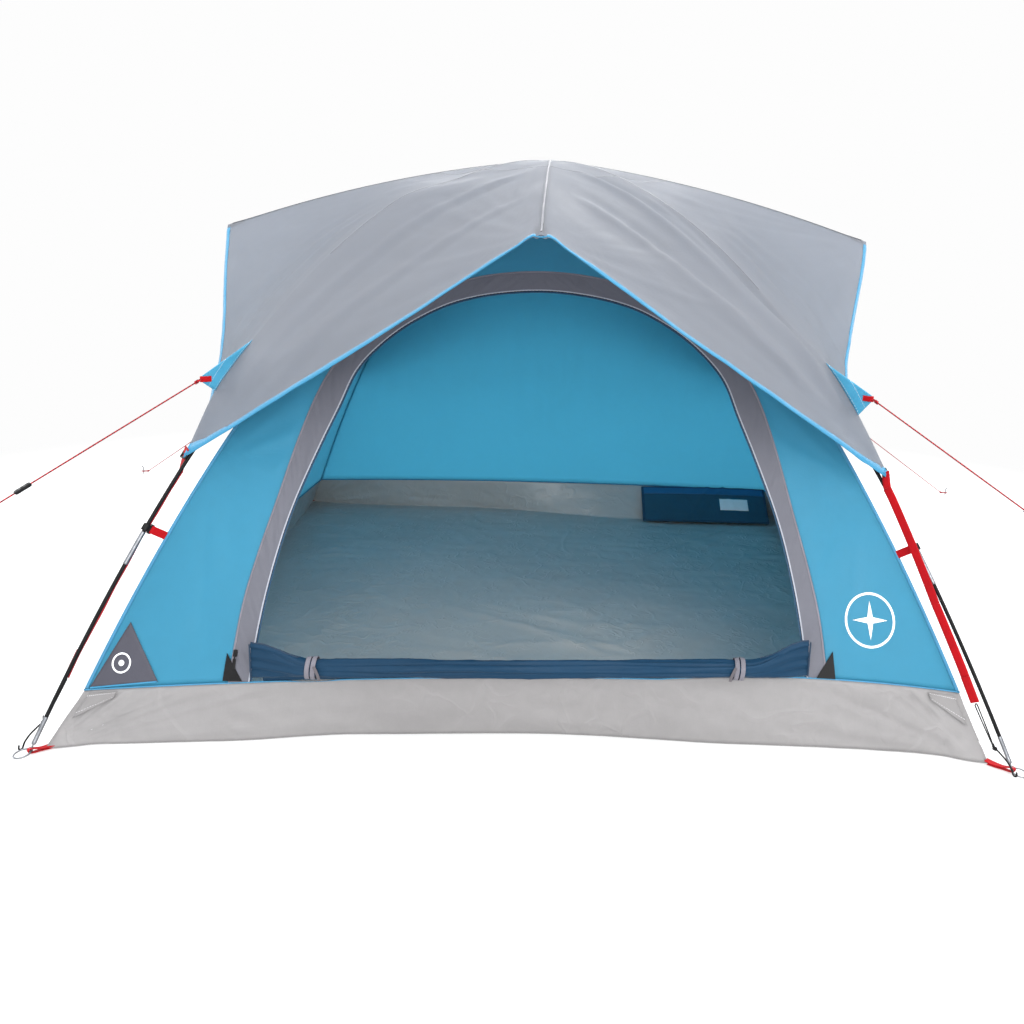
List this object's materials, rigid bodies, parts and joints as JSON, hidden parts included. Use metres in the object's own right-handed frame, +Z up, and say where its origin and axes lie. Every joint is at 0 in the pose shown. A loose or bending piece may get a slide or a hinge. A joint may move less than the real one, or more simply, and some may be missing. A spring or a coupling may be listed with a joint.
{
  "type": "dome tent",
  "caption": "Square dome tent on two crossing shock-corded poles, with a bathtub floor, an open arched doorway and a star-shaped fly held by corner straps and guy lines.",
  "frame": {"origin": "centre of the underside of the groundsheet, on the ground", "axes": "+Z up; the doorway faces -Y; +X to the right when looking in through the doorway from outside"},
  "size_m": [3.8906, 3.2642, 1.4932],
  "materials": {
    "fly_fabric": "silver-grey coated polyester taffeta, slight sheen, bright blue edge tape",
    "wall_fabric": "bright blue breathable polyester taffeta",
    "tub_fabric": "light grey coated groundsheet fabric, grey-green inside",
    "trim_fabric": "slate grey polyester",
    "door_fabric": "dark blue polyester and mesh, rolled",
    "pocket_mesh": "dark blue knitted mesh",
    "pole_fibreglass": "black fibreglass with steel ferrules",
    "ring_steel": "zinc plated wire",
    "red_webbing": "woven polyester webbing",
    "black_plastic": "moulded nylon",
    "guy_cord": "braided cord, red with dark flecks",
    "shock_cord": "covered elastic"
  },
  "bodies": {
    "tent": {"groundsheet_tub": "tub_fabric", "wall_front": "wall_fabric", "wall_back": "wall_fabric", "wall_left": "wall_fabric", "wall_right": "wall_fabric", "door_binding": "trim_fabric", "storage_pocket": "pocket_mesh", "cable_port_patch": "trim_fabric", "pole_a_section_1": "pole_fibreglass", "pole_a_section_2": "pole_fibreglass", "pole_a_section_3": "pole_fibreglass", "pole_a_section_4": "pole_fibreglass", "pole_a_section_5": "pole_fibreglass", "pole_a_section_6": "pole_fibreglass", "pole_a_section_7": "pole_fibreglass", "pole_b_section_1": "pole_fibreglass", "pole_b_section_2": "pole_fibreglass", "pole_b_section_3": "pole_fibreglass", "pole_b_section_4": "pole_fibreglass", "pole_b_section_5": "pole_fibreglass", "pole_b_section_6": "pole_fibreglass", "pole_b_section_7": "pole_fibreglass", "shock_cord_a": "shock_cord", "shock_cord_b": "shock_cord", "corner_ring_front_left": "ring_steel", "corner_ring_front_right": "ring_steel", "corner_ring_back_left": "ring_steel", "corner_ring_back_right": "ring_steel", "apex_hook": "black_plastic"},
    "door": {"door_roll": "door_fabric", "tie_loop_left": "trim_fabric", "tie_loop_right": "trim_fabric"},
    "zip": {"zip_slider": "black_plastic"},
    "fly": {"fly_canopy": "fly_fabric", "ridge_pole_side": "pole_fibreglass", "ridge_pole_front": "pole_fibreglass", "fly_strap_front_left": "red_webbing", "fly_strap_front_right": "red_webbing", "fly_strap_back_left": "red_webbing", "fly_strap_back_right": "red_webbing"},
    "hook_front_left": {"fly_hook_front_left": "black_plastic"},
    "line_front_left": {"guy_line_front_left": "guy_cord"},
    "slider_front_left": {"guy_slider_front_left": "black_plastic"},
    "peg_front_left": {"guy_peg_front_left": "ring_steel"},
    "clip_front_left": {"pole_clip_front_left": "black_plastic"},
    "hook_front_right": {"fly_hook_front_right": "black_plastic"},
    "line_front_right": {"guy_line_front_right": "guy_cord"},
    "slider_front_right": {"guy_slider_front_right": "black_plastic"},
    "peg_front_right": {"guy_peg_front_right": "ring_steel"},
    "clip_front_right": {"pole_clip_front_right": "black_plastic"},
    "hook_back_left": {"fly_hook_back_left": "black_plastic"},
    "line_back_left": {"guy_line_back_left": "guy_cord"},
    "slider_back_left": {"guy_slider_back_left": "black_plastic"},
    "peg_back_left": {"guy_peg_back_left": "ring_steel"},
    "clip_back_left": {"pole_clip_back_left": "black_plastic"},
    "hook_back_right": {"fly_hook_back_right": "black_plastic"},
    "line_back_right": {"guy_line_back_right": "guy_cord"},
    "slider_back_right": {"guy_slider_back_right": "black_plastic"},
    "peg_back_right": {"guy_peg_back_right": "ring_steel"},
    "clip_back_right": {"pole_clip_back_right": "black_plastic"}
  },
  "joints": [
    {"name": "fly_lift", "type": "slide", "parent": "tent", "child": "fly", "axis": [0, 0, 1], "range_m": [0, 0.25]},
    {"name": "door_roll_flop", "type": "hinge", "parent": "tent", "child": "door", "pos_m": [0, -0.955, 0.152], "axis": [1, 0, 0], "range_deg": [0, 60]},
    {"name": "zip_slide", "type": "slide", "parent": "tent", "child": "zip", "axis": [0.0891, 0.3852, 0.9185], "range_m": [0, 0.12]},
    {"name": "hook_swing_front_left", "type": "hinge", "parent": "fly", "child": "hook_front_left", "pos_m": [-1.00225, -0.97114, 0.13713], "axis": [-0.7071, 0.7071, 0], "range_deg": [0, 55]},
    {"name": "line_swing_front_left", "type": "hinge", "parent": "fly", "child": "line_front_left", "pos_m": [-0.7624, -0.7624, 0.766], "axis": [-0.7071, 0.7071, 0], "range_deg": [0, 30]},
    {"name": "slider_slide_front_left", "type": "slide", "parent": "line_front_left", "child": "slider_front_left", "axis": [-0.626, -0.626, -0.465], "range_m": [-0.25, 0.6]},
    {"name": "peg_pull_front_left", "type": "slide", "parent": "tent", "child": "peg_front_left", "axis": [0, 0, 1], "range_m": [0, 0.12]},
    {"name": "clip_swivel_front_left", "type": "hinge", "parent": "tent", "child": "clip_front_left", "pos_m": [-0.86143, -0.86143, 0.44616], "axis": [0.3951, 0.3951, 0.8293], "range_deg": [-12, 12]},
    {"name": "hook_swing_front_right", "type": "hinge", "parent": "fly", "child": "hook_front_right", "pos_m": [0.97084, -1.00195, 0.13685], "axis": [-0.7071, -0.7071, 0], "range_deg": [0, 55]},
    {"name": "line_swing_front_right", "type": "hinge", "parent": "fly", "child": "line_front_right", "pos_m": [0.7624, -0.7624, 0.766], "axis": [-0.7071, -0.7071, 0], "range_deg": [0, 30]},
    {"name": "slider_slide_front_right", "type": "slide", "parent": "line_front_right", "child": "slider_front_right", "axis": [0.626, -0.626, -0.465], "range_m": [-0.25, 0.6]},
    {"name": "peg_pull_front_right", "type": "slide", "parent": "tent", "child": "peg_front_right", "axis": [0, 0, 1], "range_m": [0, 0.12]},
    {"name": "clip_swivel_front_right", "type": "hinge", "parent": "tent", "child": "clip_front_right", "pos_m": [0.86037, -0.86037, 0.44525], "axis": [-0.3974, 0.3974, 0.8271], "range_deg": [-12, 12]},
    {"name": "hook_swing_back_left", "type": "hinge", "parent": "fly", "child": "hook_back_left", "pos_m": [-0.97084, 1.00195, 0.13685], "axis": [0.7071, 0.7071, 0], "range_deg": [0, 55]},
    {"name": "line_swing_back_left", "type": "hinge", "parent": "fly", "child": "line_back_left", "pos_m": [-0.7624, 0.7624, 0.766], "axis": [0.5041, 0.8637, 0], "range_deg": [0, 30]},
    {"name": "slider_slide_back_left", "type": "slide", "parent": "line_back_left", "child": "slider_back_left", "axis": [-0.751, 0.4383, -0.4939], "range_m": [-0.25, 0.6]},
    {"name": "peg_pull_back_left", "type": "slide", "parent": "tent", "child": "peg_back_left", "axis": [0, 0, 1], "range_m": [0, 0.12]},
    {"name": "clip_swivel_back_left", "type": "hinge", "parent": "tent", "child": "clip_back_left", "pos_m": [-0.86037, 0.86037, 0.44525], "axis": [0.3974, -0.3974, 0.8271], "range_deg": [-12, 12]},
    {"name": "hook_swing_back_right", "type": "hinge", "parent": "fly", "child": "hook_back_right", "pos_m": [1.00225, 0.97114, 0.13713], "axis": [0.7071, -0.7071, 0], "range_deg": [0, 55]},
    {"name": "line_swing_back_right", "type": "hinge", "parent": "fly", "child": "line_back_right", "pos_m": [0.7624, 0.7624, 0.766], "axis": [0.5041, -0.8637, 0], "range_deg": [0, 30]},
    {"name": "slider_slide_back_right", "type": "slide", "parent": "line_back_right", "child": "slider_back_right", "axis": [0.751, 0.4383, -0.4939], "range_m": [-0.25, 0.6]},
    {"name": "peg_pull_back_right", "type": "slide", "parent": "tent", "child": "peg_back_right", "axis": [0, 0, 1], "range_m": [0, 0.12]},
    {"name": "clip_swivel_back_right", "type": "hinge", "parent": "tent", "child": "clip_back_right", "pos_m": [0.86143, 0.86143, 0.44616], "axis": [-0.3951, -0.3951, 0.8293], "range_deg": [-12, 12]}
  ]
}
